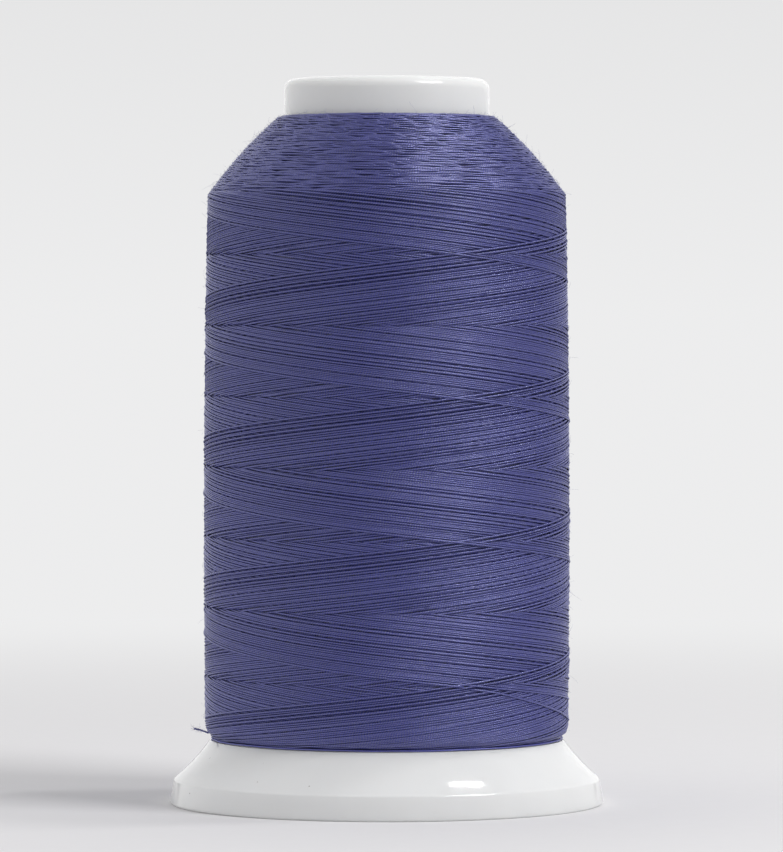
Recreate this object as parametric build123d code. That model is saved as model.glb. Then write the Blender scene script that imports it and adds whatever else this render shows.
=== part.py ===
from build123d import *
import os

# Spool of sewing thread: a plastic tube carries the wound thread, and its lower
# end snaps onto a flared plastic base. Millimetres, +Z up. The origin is the
# centre of the foot circle that the spool stands on, and Z is its axis.

# Overall
OVERALL_HEIGHT = 120.0
FOOT_RADIUS = 36.0

# Core tube: a plain tube with a thin seat flange round its lower end, where the
# bore widens into a socket for the base's sleeve
TUBE_RADIUS = 17.0
TUBE_BORE_RADIUS = 14.6
SOCKET_RADIUS = 15.0
SOCKET_TOP = 27.5
TUBE_TOP_ROUND = 1.7
TUBE_BORE_ROUND = 0.35
SEAT_RADIUS = 28.6
SEAT_THICKNESS = 1.1
SEAT_EDGE_ROUND = 0.3

# Snap base: foot rim, flared flank, flat web and a sleeve inside the tube
WALL = 1.6
WEB_TOP = 9.8
RIM_TOP_RADIUS = 35.3
RIM_TOP = 4.1
RIM_EDGE_ROUND = 0.45
FOOT_ROUND = 0.35
LIP_RADIUS = 29.3
LIP_TOP = 10.6
FLANK_SAG = 0.21
RECESS_RADIUS = 28.9
SLEEVE_RADIUS = 14.4
SLEEVE_BORE_RADIUS = 13.0
SLEEVE_TOP = 26.0
SLEEVE_CHAMFER = 0.8
RIB_COUNT = 12
RIB_THICKNESS = 1.2
RIB_FOOT = 1.4
RIB_LABEL_GAP = 0.8

# Snap: one bead round the sleeve and two grooves in the tube, one for each
# place that the base holds. The elastic interference between them is left out.
SNAP_TRAVEL = 3.5
SNAP_HEIGHT = 21.0
BEAD_DEPTH = 0.3
BEAD_WIDTH = 1.0
GROOVE_DEPTH = 0.3
GROOVE_WIDTH = 1.8

# Wound thread
PACK_BORE_GAP = 0.05
PACK_TOP = 113.9
PACK_TOP_RADIUS = 18.0
PACK_TOP_ROUND = 0.6
SHOULDER_MIDDLE = 107.45
SHOULDER_MIDDLE_RADIUS = 24.55
SHOULDER_FOOT = 101.0
SHOULDER_FOOT_RADIUS = 29.7
SHOULDER_FOOT_ROUND = 1.2
BELLY_HEIGHT = 36.0
BELLY_RADIUS = 30.32
PACK_SIDE_FOOT = 13.4
PACK_SIDE_FOOT_RADIUS = 30.15
PACK_FOOT_MIDDLE = 11.6
PACK_FOOT_MIDDLE_RADIUS = 29.65
PACK_FOOT_RADIUS = 28.9
THREAD_DIAMETER = 0.3

# Cut end of the thread, just above the base on the -X side
TAIL_HEIGHT = 11.6
TAIL_LENGTH = 2.2
TAIL_RISE = 13.0
TAIL_BEARING = 186.0

# Paper ring stuck to the underside of the web
LABEL_INNER_RADIUS = 15.0
LABEL_OUTER_RADIUS = 26.8
LABEL_THICKNESS = 0.2

# How far a cutting shape runs past the faces that it cuts
CUT_MARGIN = 1.0


def spun(*edges):
    """A closed outline in the XZ plane, turned once round Z."""
    return revolve(make_face(edges), Axis.Z)


def disc(radius, bottom, top):
    """A plain cylinder round Z."""
    return Pos(0, 0, (bottom + top) / 2) * Cylinder(radius, top - bottom)


def ring(inner, outer, bottom, top):
    """A plain flat ring round Z."""
    return disc(outer, bottom, top) - disc(inner, bottom, top)


def outline(*points):
    """Straight edges through radius and height pairs, in the XZ plane."""
    return Polyline(*[(radius, 0, height) for radius, height in points])


def arc(start, middle, end):
    """An arc through three radius and height pairs, in the XZ plane."""
    places = [(radius, 0, height) for radius, height in (start, middle, end)]
    return ThreePointArc(*places)


def edges_at(solid, radius, height):
    """The circular edges of one radius and height round Z."""
    found = []
    for edge in solid.edges().filter_by(GeomType.CIRCLE):
        centre = edge.arc_center
        near_height = abs(centre.Z - height) < 1e-3
        near_radius = abs(edge.radius - radius) < 1e-3
        on_axis = abs(centre.X) + abs(centre.Y) < 1e-3
        if near_height and near_radius and on_axis:
            found.append(edge)
    return found


def make_core_tube():
    """The tube, its seat flange for the winding, its socket and snap grooves."""
    tube = ring(TUBE_BORE_RADIUS, TUBE_RADIUS, WEB_TOP, OVERALL_HEIGHT)
    seat_top = WEB_TOP + SEAT_THICKNESS
    tube += ring(TUBE_BORE_RADIUS, SEAT_RADIUS, WEB_TOP, seat_top)
    tube = fillet(edges_at(tube, TUBE_RADIUS, OVERALL_HEIGHT), TUBE_TOP_ROUND)
    tube = fillet(edges_at(tube, TUBE_BORE_RADIUS, OVERALL_HEIGHT), TUBE_BORE_ROUND)
    tube = fillet(edges_at(tube, SEAT_RADIUS, WEB_TOP), SEAT_EDGE_ROUND)
    tube = fillet(edges_at(tube, SEAT_RADIUS, seat_top), SEAT_EDGE_ROUND)
    cut_radius = TUBE_BORE_RADIUS - CUT_MARGIN
    tube -= ring(cut_radius, SOCKET_RADIUS, WEB_TOP, SOCKET_TOP)
    tube = chamfer(edges_at(tube, SOCKET_RADIUS, WEB_TOP), SLEEVE_CHAMFER)
    groove_radius = SOCKET_RADIUS + GROOVE_DEPTH
    for height in (SNAP_HEIGHT, SNAP_HEIGHT - SNAP_TRAVEL):
        bottom = height - GROOVE_WIDTH / 2
        top = height + GROOVE_WIDTH / 2
        tube -= ring(cut_radius, groove_radius, bottom, top)
    return tube


def flank_arc(start, end):
    """The slightly hollow curve of the flank between two points."""
    middle_radius = (start[0] + end[0]) / 2 - FLANK_SAG
    middle_height = (start[1] + end[1]) / 2 - FLANK_SAG
    return arc(start, (middle_radius, middle_height), end)


def make_cavity():
    """The hollow under the web and flank, open at the foot."""
    web_bottom = WEB_TOP - WALL
    rim_foot = (FOOT_RADIUS - WALL, 0)
    rim_corner = (RIM_TOP_RADIUS - WALL, RIM_TOP - WALL / 2)
    web_corner = (LIP_RADIUS - WALL / 2, web_bottom)
    axis_foot = (0, 0)
    axis_top = (0, web_bottom)
    return spun(
        outline(axis_foot, rim_foot, rim_corner),
        flank_arc(rim_corner, web_corner),
        outline(web_corner, axis_top, axis_foot),
    )


def make_snap_base():
    """The flared base with its foot rim, ribs, web, sleeve and snap bead."""
    flank_foot = (RIM_TOP_RADIUS, RIM_TOP)
    flank_top = (LIP_RADIUS, LIP_TOP)
    body = spun(
        outline((0, 0), (FOOT_RADIUS, 0), flank_foot),
        flank_arc(flank_foot, flank_top),
        outline(flank_top, (0, LIP_TOP), (0, 0)),
    )
    body = fillet(edges_at(body, RIM_TOP_RADIUS, RIM_TOP), RIM_EDGE_ROUND)
    body = fillet(edges_at(body, FOOT_RADIUS, 0), FOOT_ROUND)

    cavity = make_cavity()
    rib_inner = LABEL_OUTER_RADIUS + RIB_LABEL_GAP
    rib_middle = (rib_inner + FOOT_RADIUS) / 2
    rib_height = WEB_TOP - RIB_FOOT
    blank = Pos(rib_middle, 0, RIB_FOOT + rib_height / 2)
    blank *= Box(FOOT_RADIUS - rib_inner, RIB_THICKNESS, rib_height)
    body -= cavity
    for turn in range(RIB_COUNT):
        body += cavity & (Rot(0, 0, turn * 360 / RIB_COUNT) * blank)

    body -= disc(RECESS_RADIUS, WEB_TOP, LIP_TOP + CUT_MARGIN)
    body -= disc(SLEEVE_BORE_RADIUS, 0, WEB_TOP + CUT_MARGIN)
    body += ring(SLEEVE_BORE_RADIUS, SLEEVE_RADIUS, WEB_TOP, SLEEVE_TOP)
    bead_radius = SLEEVE_RADIUS + BEAD_DEPTH
    bead_bottom = SNAP_HEIGHT - BEAD_WIDTH / 2
    bead_top = SNAP_HEIGHT + BEAD_WIDTH / 2
    body += ring(SLEEVE_BORE_RADIUS, bead_radius, bead_bottom, bead_top)
    mouth = edges_at(body, SLEEVE_BORE_RADIUS, WEB_TOP - WALL)
    body = chamfer(mouth, SLEEVE_CHAMFER)
    return chamfer(edges_at(body, SLEEVE_RADIUS, SLEEVE_TOP), SLEEVE_CHAMFER)


def make_thread_pack():
    """The whole winding as one closed solid: barrel, shoulder and hole."""
    bottom = WEB_TOP + SEAT_THICKNESS
    bore = TUBE_RADIUS + PACK_BORE_GAP
    inner_foot = (bore, bottom)
    inner_top = (bore, PACK_TOP)
    foot = (PACK_FOOT_RADIUS, bottom)
    side_foot = (PACK_SIDE_FOOT_RADIUS, PACK_SIDE_FOOT)
    foot_middle = (PACK_FOOT_MIDDLE_RADIUS, PACK_FOOT_MIDDLE)
    belly = (BELLY_RADIUS, BELLY_HEIGHT)
    shoulder_foot = (SHOULDER_FOOT_RADIUS, SHOULDER_FOOT)
    shoulder_middle = (SHOULDER_MIDDLE_RADIUS, SHOULDER_MIDDLE)
    top_edge = (PACK_TOP_RADIUS, PACK_TOP)
    pack = spun(
        outline(inner_foot, foot),
        arc(foot, foot_middle, side_foot),
        arc(side_foot, belly, shoulder_foot),
        arc(shoulder_foot, shoulder_middle, top_edge),
        outline(top_edge, inner_top, inner_foot),
    )
    pack = fillet(edges_at(pack, *shoulder_foot), SHOULDER_FOOT_ROUND)
    return fillet(edges_at(pack, *top_edge), PACK_TOP_ROUND)


def make_thread_tail(pack):
    """The short cut end that stands out of the winding's lower edge."""
    reach = TAIL_LENGTH + PACK_SIDE_FOOT_RADIUS - PACK_FOOT_RADIUS
    rod = Pos(0, 0, reach / 2) * Cylinder(THREAD_DIAMETER / 2, reach)
    rod = Pos(PACK_FOOT_RADIUS, 0, TAIL_HEIGHT) * Rot(0, 90 - TAIL_RISE, 0) * rod
    rod = Rot(0, 0, TAIL_BEARING) * rod
    return rod - pack


def make_base_label():
    """The plain paper ring under the web, clear of the sleeve's mouth."""
    top = WEB_TOP - WALL
    return ring(LABEL_INNER_RADIUS, LABEL_OUTER_RADIUS, top - LABEL_THICKNESS, top)


thread_pack = make_thread_pack()
nodes = {
    "snap_base": make_snap_base(),
    "base_label": make_base_label(),
    "core_tube": make_core_tube(),
    "thread_pack": thread_pack,
    "thread_tail": make_thread_tail(thread_pack),
}

os.makedirs("parts", exist_ok=True)
for name, shape in nodes.items():
    export_step(shape, os.path.join("parts", name + ".step"))
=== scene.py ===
import math

import bpy
import numpy as np
from mathutils import Matrix, Vector


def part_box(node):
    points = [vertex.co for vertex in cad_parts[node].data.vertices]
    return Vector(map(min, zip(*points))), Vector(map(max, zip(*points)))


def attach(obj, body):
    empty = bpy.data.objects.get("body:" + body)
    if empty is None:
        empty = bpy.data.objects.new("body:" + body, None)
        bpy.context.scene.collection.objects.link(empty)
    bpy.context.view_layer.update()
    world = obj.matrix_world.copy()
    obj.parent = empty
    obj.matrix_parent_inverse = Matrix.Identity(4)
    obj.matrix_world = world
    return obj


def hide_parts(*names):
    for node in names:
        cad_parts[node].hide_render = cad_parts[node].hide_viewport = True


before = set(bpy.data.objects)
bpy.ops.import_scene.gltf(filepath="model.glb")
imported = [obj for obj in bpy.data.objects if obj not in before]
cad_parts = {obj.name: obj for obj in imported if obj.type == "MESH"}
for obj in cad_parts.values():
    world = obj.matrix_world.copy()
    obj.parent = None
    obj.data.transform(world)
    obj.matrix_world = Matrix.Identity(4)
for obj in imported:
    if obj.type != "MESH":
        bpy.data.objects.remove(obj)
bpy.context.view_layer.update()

# The spool stands on its base at the origin, with +Z up. Lengths are in metres
# and angles in radians.
MM = 0.001
TAU = 2 * math.pi

FULL_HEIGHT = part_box("core_tube")[1][2]
PACK_LOW, PACK_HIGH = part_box("thread_pack")
TAIL_LOW, TAIL_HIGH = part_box("thread_tail")

# Thread
THREAD_WIDTH = 0.31 * MM
THREAD_THICKNESS = 0.27 * MM
THREAD_SIDES = 5
PLIES = 3
PLY_LAY = 1.3 * MM               # length of one full turn of the plies
PLY_SLANT = 1.3                  # plies passed in going once round the thread
PLY_WIDTH = 0.15 * MM            # one ply by itself, at the cut end
FIBRE_WIDTH = 0.022 * MM

# Long strokes. In one double stroke the thread goes down the winding and back up.
TURN_STEPS = 144                 # points in one turn round the spool
STEP = TAU / TURN_STEPS
STROKES_PER_ROUND = 71           # double strokes before the pattern closes
STROKES_LAID = 80
TURNS_PER_STROKE = 8             # turns in one double stroke
STROKE_TURNING = 0.22            # angle over which a stroke reverses
SHOULDER_HEIGHT = 101.5 * MM     # where the strokes reverse at the top
FOOT_HEIGHT = 10.95 * MM         # and at the foot
OFFSET_SPREAD = 0.065 * MM       # how unevenly whole strokes are placed
OFFSET_EASE = 0.06               # share of a stroke in which its offset changes
WANDER_SPREAD, WANDER_EVERY = 0.035 * MM, 2.0     # slow drift, and its knots' angle
RIPPLE_SPREAD, RIPPLE_EVERY = 0.012 * MM, 0.35    # quick drift, the same
TOP_SCATTER, TOP_REACH = 0.25 * MM, 0.8           # uneven reversals, and their reach

# The thread's end: it leaves the last stroke, goes round the foot and comes out
LAST_ANGLE = math.radians(-66)
LAST_HEIGHT = 21.7 * MM
SIDE_HEIGHT = 13.0 * MM          # where the steep pull down is over
END_HEIGHT = 11.7 * MM
END_ANGLE = math.radians(186)
WRAP_SPREAD, WRAP_EVERY = 0.03 * MM, TAU / 8
FOOT_WRAP_EDGES = (0.0, 0.09 * MM)     # the loose turns, above the lower edge

# Turning arcs: what shows of the deeper layers, each longer than the one over it
CONE_LAYERS, FOOT_LAYERS = 34, 4
CONE_TOP, FOOT_BOTTOM = 0.15 * MM, 0.1 * MM     # what they leave bare at the ends
ARC_OVERLAP = 0.3 * MM           # how far the arcs reach under the long strokes
ARC_REACH = 0.75                 # angle that an arc shows, each way
ARC_SLOPE = 3.3 * MM             # fall of a stroke in one radian of turn
ARC_SPREAD = 0.06 * MM           # how unevenly the arcs are placed
ARC_WANDER, ARC_WANDER_EVERY = 0.02 * MM, 0.3
ARC_SINK = 0.14 * MM             # how far the arcs press into each other
ARCS_PER_SETTLING = 6

# How the layers lie on each other
GRID_STEP = 0.04 * MM            # between the rows on which heights are kept
PROUD_SHARE = 0.5                # what is left of a hump above the level

# The closed body under the strands
CORE_DEPTH = 0.5 * MM            # how far it is under the winding's outside
CORE_BORE = 17.02 * MM           # radius, just clear of the tube
CORE_SIDES, CORE_RINGS = 160, 160
CORE_FOOT_GAP, CORE_TOP_GAP = 0.02 * MM, 0.3 * MM

# Pieces and maps
PIECE_TRIANGLES = 180000         # the most in one piece of the winding
CUT_SPACING = TURN_STEPS * TURNS_PER_STROKE + 37     # so that the cuts don't line up
BAKE_CELLS = 32                  # lengths of thread along each side of a baked picture

# Loose fibres
FUZZ_COUNT = 4200
FUZZ_CONE_SHARE = 0.3            # share of them that is moved to the cone
FUZZ_DEPTH = 0.06 * MM           # how deep they are rooted
FUZZ_LENGTHS = (3.0, 0.24)       # gamma shape and scale, in millimetres
FUZZ_LONGEST = 2.2 * MM
TAIL_FIBRES = 34
TAIL_POINTS = 30                 # points along each ply of the cut end

# Colours
PLASTIC_TONES = (0.855, 0.86, 0.86), (0.895, 0.90, 0.895)
DARK_DUST, PALE_DUST = (0.22, 0.19, 0.17, 1), (0.95, 0.95, 0.95, 1)
# the deep end is painted shade in the ply valleys, the pale end a painted highlight on
# the crests
THREAD_TONES = (0.007, 0.009, 0.085), (0.029, 0.032, 0.207), (0.095, 0.101, 0.408)
THREAD_SIDE_SHADE = (0.05, 0.05, 0.16)       # painted shade: share of its colour that a thread's side keeps
EDGE_SIDE_PAINTED_LIGHT = (0.8, 0.8, 0.9)            # the same, lighter for painted bounce light from the base
THREAD_GLINT = (0.66, 0.68, 1.0, 1)
THREAD_SHEEN = (0.5, 0.52, 1.0, 1)
# painted light: paler than the thread, for light that comes through the fibres
FIBRE_TONES = (0.13, 0.135, 0.36), (0.30, 0.31, 0.58)
PAPER_TONES = (0.80, 0.79, 0.75), (0.88, 0.87, 0.84)
# painted shade on the underlayer seen between the strands, and painted bounce light
# from the base on the foot wraps
CORE_PAINTED_SHADE, EDGE_PAINTED_LIGHT = 0.2, 1.6
FLOOR_COLOUR = (0.768, 0.760, 0.772)
ROOM_COLOUR = (0.845, 0.845, 0.85)

# Room and lamps. Each part of the room is an axis, a side and how strongly it lights.
ROOM_LIGHT = (
    ("X", 1, 0.35),
    ("X", -1, 1.05),
    ("Y", 1, 1.1),
    ("Y", -1, 0.15),
    ("Z", 1, 0.52),
)
FLOOR_HALF = 60.0
FLOOR_NEAR, FLOOR_FAR = 0.12, 0.55     # between these the floor melts into the room
FAR_FLOOR_LIGHT = 0.24                 # share of its brightness that lights the rest
KEY_WAY = (0.631, -0.407, 0.663)
KEY_RUN = (0, 0, 1)                    # the way that a lamp's second side runs
KEY_DISTANCE = 1.2
KEY_SIZE = (0.5, 0.4)
KEY_POWER = 7.3
STRIP_WAY = (0.405, 0.089, 0.898)
STRIP_RUN = (0.654, 0.684, -0.331)
STRIP_DISTANCE = 1.0
STRIP_SIZE = (0.045, 0.2)
STRIP_POWER = 1.4

# Camera
LENS, SENSOR = 234.4, 36.0             # millimetres, as Blender takes them
CAMERA_PLACE = (0.79 * MM, -0.920, 0.68 * FULL_HEIGHT)
CAMERA_DIP = 1.187                     # degrees

RANDOM = np.random.default_rng(11)


class Tree:
    """Short calls for building a node tree."""

    def __init__(self, tree):
        self.tree = tree
        self.shader = next((n for n in tree.nodes if n.type == "BSDF_PRINCIPLED"), None)

    def add(self, kind, inputs=None, **settings):
        """A new node with its inputs, by name or number, and its settings."""
        node = self.tree.nodes.new(kind)
        for key, value in settings.items():
            setattr(node, key, value)
        for key, value in (inputs or {}).items():
            self.feed(node.inputs[key], value)
        return node

    def feed(self, socket, value):
        """Gives a socket a link or a fixed value."""
        if isinstance(value, bpy.types.NodeSocket):
            self.tree.links.new(value, socket)
        elif isinstance(value, bpy.types.Node):
            self.tree.links.new(value.outputs[0], socket)
        else:
            socket.default_value = value

    def math(self, operation, *values, clamp=False):
        node = self.add("ShaderNodeMath", operation=operation, use_clamp=clamp)
        for socket, value in zip(node.inputs, values):
            self.feed(socket, value)
        return node.outputs[0]

    def times(self, value, factor):
        return self.math("MULTIPLY", value, factor)

    def ramp(self, factor, *stops):
        """A colour between stops, each a place from 0 to 1 and a colour."""
        node = self.add("ShaderNodeValToRGB", {"Fac": factor})
        elements = node.color_ramp.elements
        while len(elements) < len(stops):
            elements.new(0.5)
        for element, (place, colour) in zip(elements, stops):
            element.position = place
            element.color = (*colour, 1)
        return node.outputs["Color"]

    def blend(self, factor, first, second, mode="MIX"):
        node = self.add("ShaderNodeMix", data_type="RGBA", blend_type=mode)
        self.feed(node.inputs["Factor"], factor)
        self.feed(node.inputs["A"], first)
        self.feed(node.inputs["B"], second)
        return node.outputs["Result"]

    def noise(self, vector, scale, detail=2.0, roughness=0.5):
        """Noise from 0 to 1. The scale is in features per unit of the vector."""
        inputs = {"Vector": vector, "Scale": scale, "Detail": detail}
        inputs["Roughness"] = roughness
        return self.add("ShaderNodeTexNoise", inputs).outputs["Fac"]

    def noise_along(self, along, scale, detail, roughness=0.5):
        """Noise that changes only along a line."""
        place = self.add("ShaderNodeCombineXYZ", {"X": self.times(along, scale)})
        return self.noise(place, 1.0, detail, roughness)

    def mottle(self, place, scale, detail, tones):
        """A soft mix of two tones."""
        return self.ramp(self.noise(place, scale, detail), *zip((0.3, 0.7), tones))

    def place(self):
        """The object's own coordinates, in metres."""
        return self.add("ShaderNodeTexCoord").outputs["Object"]

    def bump(self, height, distance, strength=1.0, below=None):
        inputs = {"Height": height, "Distance": distance, "Strength": strength}
        if below is not None:
            inputs["Normal"] = below
        return self.add("ShaderNodeBump", inputs).outputs["Normal"]

    def specks(self, place, cell, size, share):
        """Small round specks, one in a share of the cells of a loose grid."""
        inputs = {"Vector": place, "Scale": 1 / cell, "Randomness": 1.0}
        cells = self.add("ShaderNodeTexVoronoi", inputs, feature="F1")
        near = self.math("LESS_THAN", cells.outputs["Distance"], size / cell)
        parts = self.add("ShaderNodeSeparateColor", {"Color": cells.outputs["Color"]})
        return self.times(near, self.math("LESS_THAN", parts.outputs["Red"], share))

    def set(self, **values):
        """Sets the main shader's sockets, with _ for a space in their names."""
        for name, value in values.items():
            self.feed(self.shader.inputs[name.replace("_", " ")], value)


def new_material(name):
    """A material with an empty tree but for its output and main shader."""
    material = bpy.data.materials.new(name)
    material.use_nodes = True
    return material, Tree(material.node_tree)


def plastic_material():
    """Smooth white polypropylene that lets a little light in, with dust on it."""
    material, tree = new_material("white_polypropylene")
    place = tree.place()
    colour = tree.mottle(place, 60, 3, PLASTIC_TONES)
    dark = tree.specks(place, cell=4.2 * MM, size=0.13 * MM, share=0.5)
    pale = tree.specks(place, cell=6.1 * MM, size=0.2 * MM, share=0.35)
    colour = tree.blend(tree.times(dark, 0.65), colour, DARK_DUST)
    colour = tree.blend(tree.times(pale, 0.5), colour, PALE_DUST)
    haze = tree.noise(place, 420, 4)
    rough = tree.add(
        "ShaderNodeMapRange",
        {"Value": haze, "From Min": 0.3, "From Max": 0.7,
         "To Min": 0.05, "To Max": 0.09},
    )
    flow = tree.noise(place, 110, 2)
    grain = tree.noise(place, 2600, 2)
    normal = tree.bump(flow, 0.03 * MM, 0.2)
    normal = tree.bump(grain, 0.002 * MM, 0.15, normal)
    tree.set(Base_Color=colour, Roughness=rough.outputs[0], Normal=normal, IOR=1.49)
    tree.set(Subsurface_Weight=0.5, Subsurface_Scale=1.0)
    tree.set(Subsurface_Radius=(3.2 * MM, 3.1 * MM, 3.0 * MM))
    return material


def thread_material(name, shade=1.0, side=THREAD_SIDE_SHADE):
    """Blue-violet 3-ply cotton. The Strand map runs along the thread and round it."""
    material, tree = new_material(name)
    strand = tree.add("ShaderNodeUVMap", uv_map="Strand").outputs["UV"]
    parts = tree.add("ShaderNodeSeparateXYZ", {"Vector": strand})
    along, round_ = parts.outputs["X"], parts.outputs["Y"]

    # along is in millimetres; the plies pass as slanted flecks
    turn = tree.math("DIVIDE", along, PLY_LAY / MM)
    signed = tree.math("SUBTRACT", round_, tree.math("GREATER_THAN", round_, 0.5))
    slant = tree.times(signed, PLY_SLANT)
    uneven = tree.math("MULTIPLY_ADD", tree.noise_along(along, 0.12, 1), 3.0, slant)
    phase = tree.math("MULTIPLY_ADD", turn, PLIES, uneven)
    wave = tree.math("SINE", tree.times(phase, TAU))
    ridge = tree.math("POWER", tree.math("MULTIPLY_ADD", wave, 0.5, 0.5), 0.8)
    fibre_place = tree.add(
        "ShaderNodeCombineXYZ",
        {"X": tree.times(along, 2.2), "Y": tree.times(phase, 5.0)},
    )
    fibre = tree.noise(fibre_place, 1.0, 3, 0.6)

    # partly painted: the ramp paints ply valleys deep as shade and crests pale as
    # highlight; the fibre noise mixed in is random tone
    deep, middle, pale = (tuple(c * shade for c in tone) for tone in THREAD_TONES)
    tone = tree.math("MULTIPLY_ADD", ridge, 0.6, tree.times(fibre, 0.4))
    colour = tree.ramp(tone, (0.12, deep), (0.5, middle), (0.9, pale))

    # painted shade: the sides and back of a thread, deep between its neighbours, are
    # painted dark
    outward = tree.math("COSINE", tree.times(round_, TAU))
    bright = tree.ramp(outward, (0.0, side), (0.35, (1, 1, 1)))
    colour = tree.blend(1.0, colour, bright, "MULTIPLY")

    # slow changes of tone, along the thread and over the spool
    drift = tree.noise_along(along, 0.05, 3, 0.6)
    slub = tree.noise(tree.place(), 900, 2)
    worn = tree.times(
        tree.math("MULTIPLY_ADD", drift, 0.5, 0.75),
        tree.math("MULTIPLY_ADD", slub, 0.3, 0.85),
    )
    channels = {"Red": worn, "Green": worn, "Blue": worn}
    grey = tree.add("ShaderNodeCombineColor", channels)
    colour = tree.blend(1.0, colour, grey, "MULTIPLY")
    height = tree.math("MULTIPLY_ADD", fibre, 0.35, ridge)
    normal = tree.bump(height, 0.035 * MM, 0.9)

    # only the crests of the plies, on the side turned outward, catch the light
    rough = tree.math("MULTIPLY_ADD", ridge, -0.25, 0.72)
    rough = tree.math("MULTIPLY_ADD", bright, -0.3, rough)
    tree.set(Base_Color=colour, Normal=normal, Roughness=rough, IOR=1.9)
    tree.set(Specular_IOR_Level=1.0, Specular_Tint=THREAD_GLINT)
    tree.set(Sheen_Weight=0.3, Sheen_Roughness=0.3, Sheen_Tint=THREAD_SHEEN)
    return material


def fibre_material():
    """Loose cotton fibres: the thread's dye, painted paler for light that comes through
    them, in a random mottle.
    """
    material, tree = new_material("loose_cotton_fibre")
    colour = tree.mottle(tree.place(), 1500, 1, FIBRE_TONES)
    tree.set(Base_Color=colour, Roughness=0.6, Sheen_Weight=0.3)
    return material


def paper_material():
    """Plain uncoated paper with a faint fibre mottle."""
    material, tree = new_material("label_paper")
    place = tree.place()
    colour = tree.mottle(place, 900, 4, PAPER_TONES)
    normal = tree.bump(tree.noise(place, 3200, 3), 0.02 * MM, 0.4)
    tree.set(Base_Color=colour, Roughness=0.85, Normal=normal)
    return material


def floor_material():
    """A pale seamless surface that melts into the bright room further off."""
    material, tree = new_material("pale_floor")
    place = tree.place()
    tones = FLOOR_COLOUR, tuple(c * 1.01 for c in FLOOR_COLOUR)
    colour = tree.mottle(place, 240, 3, tones)
    tree.set(Base_Color=colour, Roughness=0.9, Specular_IOR_Level=0.1)
    away = tree.add("ShaderNodeVectorMath", {0: place}, operation="LENGTH")
    far = tree.add(
        "ShaderNodeMapRange",
        {"Value": away.outputs["Value"], "From Min": FLOOR_NEAR, "From Max": FLOOR_FAR},
        interpolation_type="SMOOTHSTEP",
    )
    seen = tree.add("ShaderNodeLightPath").outputs["Is Camera Ray"]
    glow = tree.math("MULTIPLY_ADD", seen, 1 - FAR_FLOOR_LIGHT, FAR_FLOOR_LIGHT)
    inputs = {"Color": (*ROOM_COLOUR, 1), "Strength": glow}
    glow = tree.add("ShaderNodeEmission", inputs)
    both = tree.add("ShaderNodeMixShader", {0: far, 1: tree.shader, 2: glow})
    output = next(n for n in material.node_tree.nodes if n.type == "OUTPUT_MATERIAL")
    tree.feed(output.inputs["Surface"], both)
    return material


PLASTIC = plastic_material()
THREAD = thread_material("spun_cotton_thread")
# copies of the thread: the underlayer painted dark as shade, the foot wraps painted
# light as bounce from the base
CORE = thread_material("thread_underlayer_painted_shade", CORE_PAINTED_SHADE)
EDGE = thread_material("foot_wrap_thread_painted_light", EDGE_PAINTED_LIGHT, EDGE_SIDE_PAINTED_LIGHT)
FIBRE = fibre_material()
PAPER = paper_material()


def unit(vector):
    return vector / np.linalg.norm(vector)


def running_mean(values, reach):
    """Means over reach values each way. The result is shorter by them at each end."""
    width = 2 * reach + 1
    return np.convolve(values, np.ones(width) / width, "valid")


class Surface:
    """The winding's outside, as arc length s from its top edge down to its foot."""

    SAMPLE = 0.1 * MM
    BORE_MARGIN = 0.02 * MM      # points nearer the bore than this are its wall
    CLOSEST = 1e-5               # least step between two points of the outline
    ROUNDING = 5                 # samples each way that the edges are softened over

    def __init__(self, node):
        mesh = node.data
        points = np.empty(len(mesh.vertices) * 3)
        mesh.vertices.foreach_get("co", points)
        points = points.reshape(-1, 3)
        radius, height = np.hypot(points[:, 0], points[:, 1]), points[:, 2]
        inner = radius.min()
        pairs = np.round(np.column_stack([radius, height]), 6)
        pairs = np.unique(pairs[radius > inner + self.BORE_MARGIN], axis=0)
        pairs = pairs[np.lexsort((pairs[:, 0], -pairs[:, 1]))]
        pairs = np.vstack([[inner, pairs[0, 1]], pairs])
        step = np.hypot(*np.diff(pairs, axis=0).T)
        pairs = pairs[np.r_[True, step > self.CLOSEST]]
        length = np.r_[0, np.cumsum(np.hypot(*np.diff(pairs, axis=0).T))]
        self.length = length[-1]
        self.s = np.linspace(0, self.length, int(self.length / self.SAMPLE))
        self.radius = self.soften(np.interp(self.s, length, pairs[:, 0]))
        self.height = self.soften(np.interp(self.s, length, pairs[:, 1]))
        along = np.column_stack([np.gradient(self.radius), np.gradient(self.height)])
        along /= np.linalg.norm(along, axis=1)[:, None]
        self.normal_radius, self.normal_height = -along[:, 1], along[:, 0]

    def soften(self, values):
        """A short running mean that keeps both ends in place."""
        reach = self.ROUNDING
        before = 2 * values[0] - values[reach:0:-1]
        after = 2 * values[-1] - values[-2:-reach - 2:-1]
        return running_mean(np.r_[before, values, after], reach)

    def s_at_height(self, height):
        """The arc length at a height above the floor."""
        return np.interp(-height, -self.height, self.s)

    def points(self, theta, s, proud):
        """Points at an angle and arc length, standing proud, and the normals there."""
        outline = self.radius, self.height, self.normal_radius, self.normal_height
        radius, height, normal_radius, normal_height = (
            np.interp(s, self.s, values) for values in outline)
        out = radius + proud * normal_radius
        up = height + proud * normal_height
        place = np.column_stack([out * np.cos(theta), out * np.sin(theta), up])
        normal = np.column_stack([normal_radius * np.cos(theta),
                                  normal_radius * np.sin(theta), normal_height])
        return place, normal


PACK = Surface(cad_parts["thread_pack"])
S_SHOULDER = PACK.s_at_height(SHOULDER_HEIGHT)
S_FOOT = PACK.s_at_height(FOOT_HEIGHT)


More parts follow.
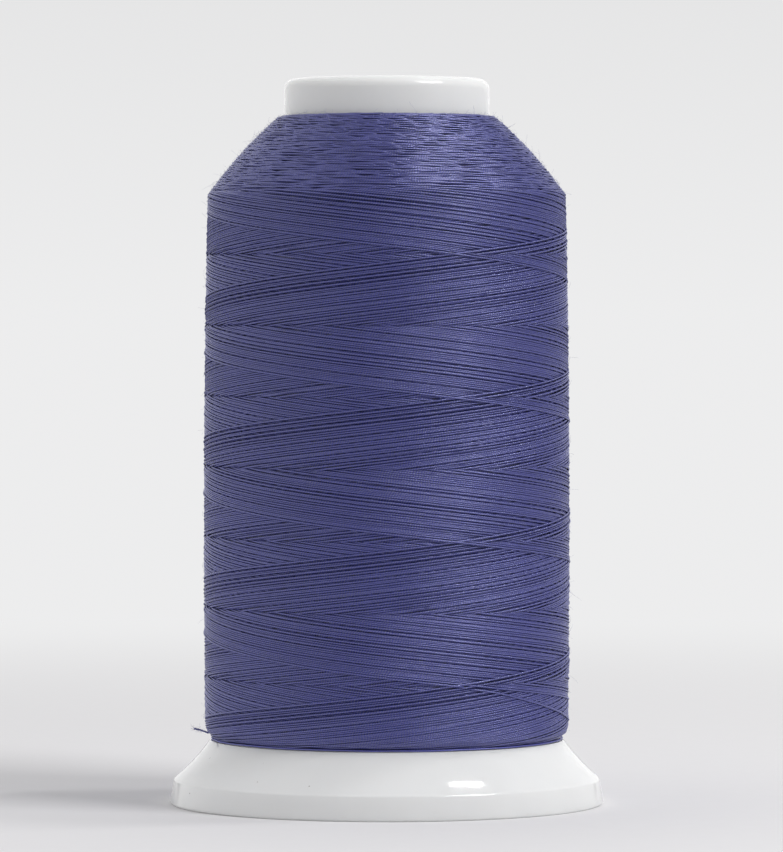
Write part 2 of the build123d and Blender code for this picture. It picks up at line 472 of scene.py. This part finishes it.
def wander(theta, spread, every):
    """Smooth random drift along a path, with a new value every so many radians."""
    knots = np.arange(theta[0] - every, theta[-1] + 2 * every, every)
    values = RANDOM.normal(0, spread, len(knots))
    share = (theta - knots[0]) / every
    low = np.floor(share).astype(int)
    part = share - low
    part = part * part * (3 - 2 * part)
    return values[low] * (1 - part) + values[low + 1] * part


def turning(distance, width):
    """Straight-line distance from a reversal, rounded where the stroke turns."""
    return np.sqrt(distance ** 2 + width ** 2) - width


def long_strokes():
    """The outermost layers: one thread laid down and back up, many times over."""
    stroke = TAU * (TURNS_PER_STROKE - 1 / STROKES_PER_ROUND)
    length = S_FOOT - S_SHOULDER
    last_part = (PACK.s_at_height(LAST_HEIGHT) - S_SHOULDER) / length * stroke / 2
    total = STROKES_LAID * stroke + last_part
    count = int(total / STEP)
    done = total - np.arange(count)[::-1] * STEP
    theta = LAST_ANGLE - total + done
    index = np.floor(done / stroke).astype(int)
    inside = done - index * stroke
    from_top = np.minimum(inside, stroke - inside)
    from_foot = stroke / 2 - from_top
    quarter = 2 * turning(stroke / 4, STROKE_TURNING)
    s = np.where(
        from_top < stroke / 4,
        S_SHOULDER + length * turning(from_top, STROKE_TURNING) / quarter,
        S_FOOT - length * turning(from_foot, STROKE_TURNING) / quarter,
    )
    # no stroke lies quite where it should, nor reverses quite at the shoulder
    half = np.floor(done / (stroke / 2)).astype(int)
    shift = RANDOM.normal(0, OFFSET_SPREAD, half.max() + 2)
    ease = np.clip((done / (stroke / 2) - half) / OFFSET_EASE, 0, 1)
    s += shift[half] * (1 - ease) + shift[half + 1] * ease
    s += (wander(done, WANDER_SPREAD, WANDER_EVERY)
          + wander(done, RIPPLE_SPREAD, RIPPLE_EVERY))
    scatter = RANDOM.normal(0, TOP_SCATTER, index.max() + 1)[index]
    s += np.abs(scatter) * np.exp(-(from_top / TOP_REACH) ** 2)
    return theta, s


def foot_wrap(s_edge):
    """One loose turn round the very foot, where the winding meets the base."""
    theta = np.arange(TURN_STEPS + 1) * TAU / TURN_STEPS
    return theta, s_edge + wander(theta, WRAP_SPREAD, WRAP_EVERY)


def last_wrap(s_start):
    """The cut end: pulled down steeply, then half round the foot."""
    theta = np.arange(LAST_ANGLE + STEP, END_ANGLE, STEP)
    s_side, s_end = PACK.s_at_height(SIDE_HEIGHT), PACK.s_at_height(END_HEIGHT)
    course = {                   # degrees turned, and where the thread is by then
        0: s_start,
        8: s_start + 0.6 * MM,
        60: s_side - 1.1 * MM,
        75: s_side,
        110: s_end,
        252: s_end,
    }
    s = np.interp(np.degrees(theta - LAST_ANGLE), list(course), list(course.values()))
    return theta, running_mean(np.pad(s, 4, mode="edge"), 4)


def short_arcs(s_from, s_to, layers, sign=1):
    """Where each deeper layer's strokes turned back, one layer after another."""
    for layer in range(layers):
        s_turn = s_from + (s_to - s_from) * (layer + 0.5) / layers
        first = RANDOM.integers(TURN_STEPS)
        for start in range(STROKES_PER_ROUND):
            middle = first - int(start / STROKES_PER_ROUND * TURN_STEPS)
            half = int(ARC_REACH * RANDOM.uniform(0.7, 1.3) / STEP)
            theta = (middle + np.arange(-half, half + 1)) * STEP
            away = np.abs(theta - middle * STEP)
            s = s_turn + RANDOM.normal(0, ARC_SPREAD)
            s = s + sign * ARC_SLOPE * turning(away, RANDOM.uniform(0.4, 0.8))
            drift = wander(np.arange(len(theta)) * STEP, ARC_WANDER, ARC_WANDER_EVERY)
            yield theta, s + drift


class Stack:
    """Lays threads one after another on the surface, each on what lies there."""

    REST = 0.09 * MM             # half width over which a thread rests on others
    SINK = 0.07 * MM             # how far it presses into them
    MARGIN = 20                  # grid rows beyond each edge of the surface
    RIM = 8                      # rows of the margin that no thread's middle reaches
    SETTLE_REACH = 7             # rows each way that tension evens out
    LEVEL_REACH = 25             # rows each way over which the last level is taken
    LEVEL_PERCENT = 75

    def __init__(self, surface):
        self.rows = int(surface.length / GRID_STEP) + 2 * self.MARGIN
        self.top = np.zeros((TURN_STEPS, self.rows))
        self.sunk = np.zeros((TURN_STEPS, self.rows))
        self.bend = (PACK_HIGH[0] * TAU / TURN_STEPS) ** 2 / (2 * PACK_HIGH[0])
        self.laid = []

    def cells(self, theta, s):
        """Grid columns and rows of the points of a path."""
        column = np.round(theta / (TAU / TURN_STEPS)).astype(int) % TURN_STEPS
        row = np.round(s / GRID_STEP).astype(int) + self.MARGIN
        return column, np.clip(row, self.RIM, self.rows - self.RIM - 1)

    @staticmethod
    def rise(offset):
        """How much higher than its middle a thread is, some rows off to one side."""
        across = offset * GRID_STEP / (THREAD_WIDTH / 2)
        return THREAD_THICKNESS / 2 * math.sqrt(max(0.0, 1 - across * across))

    def lay(self, theta, s, sink=SINK, settled_turns=None):
        """Lays a path turn by turn, and keeps its heights. It may settle on the way."""
        column_all, row_all = self.cells(theta, s)
        proud = np.empty(len(theta))
        reach = int(round(self.REST / GRID_STEP))
        wide = int(THREAD_WIDTH / 2 / GRID_STEP)
        for start in range(0, len(theta), TURN_STEPS):
            part = slice(start, start + TURN_STEPS)
            column, row = column_all[part], row_all[part]
            rest = np.full(len(column), -1.0)
            for offset in range(-reach, reach + 1):
                there = self.top[column, row + offset]
                rest = np.maximum(rest, there + self.rise(offset))
            rest -= sink
            taut = rest.copy()
            for steps in (1, 2):
                drop = self.bend * steps ** 2
                taut[steps:] = np.maximum(taut[steps:], rest[:-steps] - drop)
                taut[:-steps] = np.maximum(taut[:-steps], rest[steps:] - drop)
            proud[part] = taut + self.sunk[column, row]
            for offset in range(-wide, wide + 1):
                self.top[column, row + offset] = np.maximum(
                    self.top[column, row + offset], taut + self.rise(offset))
            turns = start // TURN_STEPS + 1
            if settled_turns and turns % settled_turns == 0:
                self.settle()
        self.laid.append((theta, s, proud))

    def settle(self):
        """Lets tension press the high places down to the level round them."""
        reach = self.SETTLE_REACH
        width = 2 * reach + 1
        mean = self.top
        for _ in range(2):
            padded = np.pad(mean, [(0, 0), (reach + 1, reach)], mode="edge")
            total = np.cumsum(padded, axis=1)
            mean = (total[:, width:] - total[:, :-width]) / width
        for _ in range(2):
            mean = (np.roll(mean, 1, axis=0) + mean + np.roll(mean, -1, axis=0)) / 3
        self.top -= mean
        self.sunk += mean

    def finished(self):
        """Every path with its heights once all the later turns are on."""
        level = np.percentile(self.top, self.LEVEL_PERCENT, axis=0)
        reach = self.LEVEL_REACH
        level = running_mean(np.pad(level, reach, mode="edge"), reach)
        for theta, s, proud in self.laid:
            column, row = self.cells(theta, s)
            proud = proud - self.sunk[column, row] - level[row]
            proud = np.where(proud > 0, PROUD_SHARE * proud, proud)
            if len(proud) > 4:
                padded = np.r_[proud[0], proud, proud[-1]]
                proud = 0.25 * padded[:-2] + 0.5 * padded[1:-1] + 0.25 * padded[2:]
            yield theta, s, proud


def tube_arrays(centre, normal, travelled, width, thickness, sides):
    """Vertices, faces, both maps and the sides of a tube of flattened round section.

    The first map, Strand, has millimetres along the tube and turns round it. In
    the second, OFBake, each length of tube fills one cell of a square.
    """
    count = len(centre)
    along = np.gradient(centre, axis=0)
    along /= np.linalg.norm(along, axis=1)[:, None] + 1e-12
    side = np.cross(along, normal)
    side /= np.linalg.norm(side, axis=1)[:, None] + 1e-12
    up = np.cross(side, along)
    turn = np.arange(sides) * TAU / sides
    ring = (np.cos(turn)[None, :, None] * up[:, None, :] * thickness / 2
            + np.sin(turn)[None, :, None] * side[:, None, :] * width / 2)
    points = (centre[:, None, :] + ring).reshape(-1, 3)
    start = np.arange(count - 1)[:, None] * sides
    first = start + np.arange(sides)[None, :]
    beside = start + (np.arange(sides)[None, :] + 1) % sides
    quads = np.stack([first, beside, beside + sides, first + sides], axis=-1)
    u0, u1 = (np.repeat(ends / MM, sides) for ends in (travelled[:-1], travelled[1:]))
    v0 = np.tile(np.arange(sides) / sides, count - 1)
    v1 = v0 + 1 / sides
    strand = np.stack([u0, v0, u0, v1, u1, v1, u1, v0], axis=-1).reshape(-1, 2)
    cell = np.repeat(np.arange(count - 1), sides)
    column, row = cell % BAKE_CELLS, cell // BAKE_CELLS % BAKE_CELLS
    left, right = column / BAKE_CELLS, (column + 1) / BAKE_CELLS
    low, high = (row + v0) / BAKE_CELLS, (row + v1) / BAKE_CELLS
    flat = np.stack([left, low, left, high, right, high, right, low], axis=-1)
    maps = np.hstack([strand, flat.reshape(-1, 2)])
    return points, quads.reshape(-1, 4), maps, sides


def thread_tube(centre, normal, travelled):
    return tube_arrays(centre, normal, travelled,
                       THREAD_WIDTH, THREAD_THICKNESS, THREAD_SIDES)


def tube_piece(name, tubes, material):
    """One mesh object of many closed tubes with flat ends."""
    points, quads, maps, caps = [], [], [], []
    base = 0
    for tube_points, tube_quads, tube_maps, sides in tubes:
        points.append(tube_points)
        quads.append(tube_quads + base)
        maps.append(tube_maps)
        caps.append(np.arange(sides)[::-1] + base)
        base += len(tube_points)
        caps.append(np.arange(sides) + base - sides)
    points, quads = np.vstack(points), np.vstack(quads)
    cap_corners = np.concatenate(caps)
    corners = np.r_[quads.ravel(), cap_corners]
    sizes = np.r_[np.full(len(quads), 4), [len(cap) for cap in caps]]
    starts = np.r_[0, np.cumsum(sizes)[:-1]]
    mesh = bpy.data.meshes.new(name)
    mesh.vertices.add(len(points))
    mesh.vertices.foreach_set("co", points.astype(np.float32).ravel())
    mesh.loops.add(len(corners))
    mesh.loops.foreach_set("vertex_index", corners.astype(np.int32))
    mesh.polygons.add(len(sizes))
    mesh.polygons.foreach_set("loop_start", starts.astype(np.int32))
    mesh.polygons.foreach_set("use_smooth", np.arange(len(sizes)) < len(quads))
    maps = np.vstack([*maps, np.zeros((len(cap_corners), 4))]).astype(np.float32)
    for map_name, columns in (("Strand", maps[:, :2]), ("OFBake", maps[:, 2:])):
        layer = mesh.uv_layers.new(name=map_name)
        layer.data.foreach_set("uv", columns.ravel())
    mesh.update(calc_edges=True)
    return add_piece(name, mesh, material)


def add_piece(name, mesh, material):
    mesh.materials.append(material)
    piece = bpy.data.objects.new(name, mesh)
    bpy.context.collection.objects.link(piece)
    return piece


def lay_thread():
    """Lays every visible path in order. The second result is which are foot wraps."""
    stack = Stack(PACK)
    cone = short_arcs(CONE_TOP, S_SHOULDER + ARC_OVERLAP, CONE_LAYERS)
    foot = short_arcs(PACK.length - FOOT_BOTTOM, S_FOOT - ARC_OVERLAP, FOOT_LAYERS,
                      sign=-1)
    for number, path in enumerate([*cone, *foot], 1):
        stack.lay(*path, sink=ARC_SINK)
        if number % ARCS_PER_SETTLING == 0:
            stack.settle()
    theta, s = long_strokes()
    stack.lay(theta, s, settled_turns=TURNS_PER_STROKE)
    foot_wraps = range(len(stack.laid), len(stack.laid) + len(FOOT_WRAP_EDGES))
    for edge in FOOT_WRAP_EDGES:
        stack.lay(*foot_wrap(PACK.length - edge))
    stack.lay(*last_wrap(s[-1]))
    return stack.finished(), foot_wraps


def build_winding():
    """All the visible thread, cut into pieces of fair size."""
    paths, foot_wraps = lay_thread()
    tubes, pieces, foot_tubes = [], [], []
    triangles = 0
    for number, (theta, s, proud) in enumerate(paths):
        centre, normal = PACK.points(theta, s, proud)
        travelled = np.r_[0, np.cumsum(np.linalg.norm(np.diff(centre, axis=0), axis=1))]
        travelled += RANDOM.uniform(0, 50) * MM
        if number in foot_wraps:
            foot_tubes.append(thread_tube(centre, normal, travelled))
            continue
        for start in range(0, len(theta) - 1, CUT_SPACING):
            part = slice(start, start + CUT_SPACING + 1)
            tube = thread_tube(centre[part], normal[part], travelled[part])
            if triangles + 2 * len(tube[1]) > PIECE_TRIANGLES:
                pieces.append(tubes)
                tubes, triangles = [], 0
            tubes.append(tube)
            triangles += 2 * len(tube[1])
    pieces.append(tubes)
    # the foot wraps take the thread copy painted lighter, as bounce light from the base
    made = [tube_piece("winding_foot", foot_tubes, EDGE)]
    for number, tubes in enumerate(pieces, 1):
        made.append(tube_piece(f"winding_{number:02d}", tubes, THREAD))
    return made


def build_core():
    """The closed body of older turns under the visible ones."""
    sides = CORE_SIDES
    theta = np.arange(sides) * TAU / sides
    rings = []
    for s in np.linspace(0, PACK.length, CORE_RINGS):
        points, _ = PACK.points(theta, np.full(sides, s), np.full(sides, -CORE_DEPTH))
        rings.append(points)
    bore_x, bore_y = CORE_BORE * np.cos(theta), CORE_BORE * np.sin(theta)
    for height in (PACK_LOW[2] + CORE_FOOT_GAP, PACK_HIGH[2] - CORE_TOP_GAP):
        rings.append(np.column_stack([bore_x, bore_y, np.full(sides, height)]))
    faces = []
    for ring in range(len(rings)):
        after = (ring + 1) % len(rings)
        for side in range(sides):
            beside = (side + 1) % sides
            faces.append((ring * sides + side, after * sides + side,
                          after * sides + beside, ring * sides + beside))
    mesh = bpy.data.meshes.new("winding_core")
    mesh.from_pydata(np.vstack(rings).tolist(), [], faces)
    mesh.shade_smooth()
    layer = mesh.uv_layers.new(name="Strand")
    vertices = np.empty(len(mesh.loops), int)
    mesh.loops.foreach_get("vertex_index", vertices)
    ring_of, side_of = vertices // sides, vertices % sides
    # as on a thread: millimetres along it, and turns round it
    strand = np.column_stack([side_of * 1.18, ring_of * 0.35])
    layer.data.foreach_set("uv", strand.astype(np.float32).ravel())
    # the underlayer takes the thread copy painted dark, as shade between the strands
    return add_piece("winding_core", mesh, CORE)


def hair(start, way, curl, length, points=6):
    """One loose fibre: a thin tube along a bending line."""
    along = np.linspace(0, 1, points)[:, None]
    line = start + length * (along * way + along ** 2 * curl)
    askew = (0.3, 0.5, 0.8)      # no fibre runs quite along this
    normal = np.tile(unit(np.cross(way, askew)), (points, 1))
    travelled = np.linspace(0, length, points)
    return tube_arrays(line, normal, travelled, FIBRE_WIDTH, FIBRE_WIDTH, sides=3)


def build_fuzz():
    """The cotton's loose fibres, all over the winding."""
    theta = RANDOM.uniform(0, TAU, FUZZ_COUNT)
    s = RANDOM.uniform(0, PACK.length, FUZZ_COUNT)
    cone = RANDOM.random(FUZZ_COUNT) < FUZZ_CONE_SHARE
    s[cone] = RANDOM.uniform(0, S_SHOULDER, cone.sum())
    places, normals = PACK.points(theta, s, np.full(FUZZ_COUNT, -FUZZ_DEPTH))
    hairs = []
    for place, normal in zip(places, normals):
        lean = RANDOM.normal(0, 1, 3)
        way = unit(normal * RANDOM.uniform(0.25, 0.9) + 0.6 * lean)
        way = way if way @ normal > 0.1 else unit(way + normal)
        curl = RANDOM.normal(0, 0.5, 3) - 0.5 * normal
        length = min(RANDOM.gamma(*FUZZ_LENGTHS) * MM, FUZZ_LONGEST)
        hairs.append(hair(place, way, curl, length))
    return tube_piece("loose_fibres", hairs, FIBRE)


def build_tail():
    """The cut end: three plies that open out, with a few broken fibres."""
    start = np.array((TAIL_HIGH[0], TAIL_HIGH[1], TAIL_LOW[2] + THREAD_WIDTH / 2))
    end = np.array((TAIL_LOW[0], TAIL_LOW[1] + THREAD_WIDTH / 2, TAIL_HIGH[2]))
    way, reach = unit(end - start), np.linalg.norm(end - start)
    side = unit(np.cross(way, (0, 0, 1)))
    up = np.cross(side, way)
    along = np.linspace(0, 1, TAIL_POINTS)
    arch = np.sin(along * 2.4)[:, None] * 0.12 * MM * up
    spread = ((0.085 + 0.16 * np.clip(along - 0.55, 0, 1) ** 1.3) * MM)[:, None]
    plies = []
    for ply in range(PLIES):
        turn = (TAU * (ply / PLIES + along * reach / PLY_LAY))[:, None]
        line = start + along[:, None] * reach * RANDOM.uniform(0.9, 1.0) * way + arch
        line = line + spread * np.cos(turn) * side + spread * np.sin(turn) * up
        plies.append(tube_arrays(line, np.tile(up, (TAIL_POINTS, 1)), along * reach,
                                 PLY_WIDTH, PLY_WIDTH, sides=6))
    hairs = []
    for _ in range(TAIL_FIBRES):
        place = start + RANDOM.uniform(0.35, 0.98) * reach * way
        place = place + RANDOM.normal(0, 0.06, 3) * MM
        lean = unit(way * RANDOM.uniform(0.3, 1.2) + 0.6 * RANDOM.normal(0, 1, 3))
        curl = RANDOM.normal(0, 0.4, 3)
        hairs.append(hair(place, lean, curl, RANDOM.uniform(0.3, 1.0) * MM))
    return (tube_piece("cut_thread_end", plies, FIBRE),
            tube_piece("cut_end_fibres", hairs, FIBRE))


winding = build_winding()
core = build_core()
fuzz = build_fuzz()
cut_end, cut_end_fibres = build_tail()
for piece in (core, *winding):
    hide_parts("thread_pack")
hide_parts("thread_tail")
for piece in (core, *winding, fuzz, cut_end, cut_end_fibres):
    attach(piece, "spool")

for node in ("core_tube", "snap_base"):
    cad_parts[node].data.materials[0] = PLASTIC
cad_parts["base_label"].data.materials[0] = PAPER


def add_floor():
    half = FLOOR_HALF
    mesh = bpy.data.meshes.new("floor")
    corners = [(-half, -half, 0), (half, -half, 0), (half, half, 0), (-half, half, 0)]
    mesh.from_pydata(corners, [], [(0, 1, 2, 3)])
    floor = add_piece("floor", mesh, floor_material())


def add_world():
    """A bright room, lit differently from each side, and pale where it is seen."""
    world = bpy.data.worlds.new("studio")
    bpy.context.scene.world = world
    world.use_nodes = True
    tree = Tree(world.node_tree)
    background = next(n for n in world.node_tree.nodes if n.type == "BACKGROUND")
    way = tree.add("ShaderNodeTexCoord").outputs["Generated"]
    parts = tree.add("ShaderNodeSeparateXYZ", {"Vector": way})
    light = 0.0
    for axis, sign, strength in ROOM_LIGHT:
        facing = tree.math("MULTIPLY", parts.outputs[axis], sign, clamp=True)
        facing = tree.math("POWER", facing, 2.0)
        light = tree.math("MULTIPLY_ADD", facing, strength, light)
    seen = tree.add("ShaderNodeLightPath").outputs["Is Camera Ray"]
    high = tree.add(
        "ShaderNodeMapRange",
        {"Value": parts.outputs["Z"], "From Max": 0.06, "To Min": 1.0, "To Max": 0.93},
    )
    inputs = {0: ROOM_COLOUR, "Scale": high}
    pale = tree.add("ShaderNodeVectorMath", inputs, operation="SCALE")
    lit = tree.add("ShaderNodeCombineXYZ", {"X": light, "Y": light, "Z": light})
    tree.feed(background.inputs["Color"], tree.blend(seen, lit, pale))


def add_lamp(name, direction, run, distance, size, power):
    """A soft rectangular lamp that looks at the spool's middle.

    Its second side runs along run.
    """
    data = bpy.data.lights.new(name, "AREA")
    data.shape = "RECTANGLE"
    data.size, data.size_y = size
    data.energy = power
    lamp = bpy.data.objects.new(name, data)
    aim = Vector((0, 0, FULL_HEIGHT / 2))
    direction = Vector(direction).normalized()
    lamp.location = aim + direction * distance
    across = Vector(run).cross(direction).normalized()
    along = direction.cross(across)
    lamp.rotation_euler = Matrix((across, along, direction)).transposed().to_euler()
    bpy.context.collection.objects.link(lamp)


def add_camera():
    """A long lens a little above the middle of the spool, looking along +Y."""
    data = bpy.data.cameras.new("camera")
    data.lens = LENS
    data.sensor_width = SENSOR
    data.clip_end = 200.0
    camera = bpy.data.objects.new("camera", data)
    camera.location = CAMERA_PLACE
    camera.rotation_euler = (math.radians(90 - CAMERA_DIP), 0, 0)
    bpy.context.collection.objects.link(camera)
    bpy.context.scene.camera = camera


add_floor()
add_world()
add_lamp("key", KEY_WAY, KEY_RUN, KEY_DISTANCE, KEY_SIZE, KEY_POWER)
add_lamp("strip", STRIP_WAY, STRIP_RUN, STRIP_DISTANCE, STRIP_SIZE, STRIP_POWER)
add_camera()
bpy.context.scene.view_settings.view_transform = "Standard"
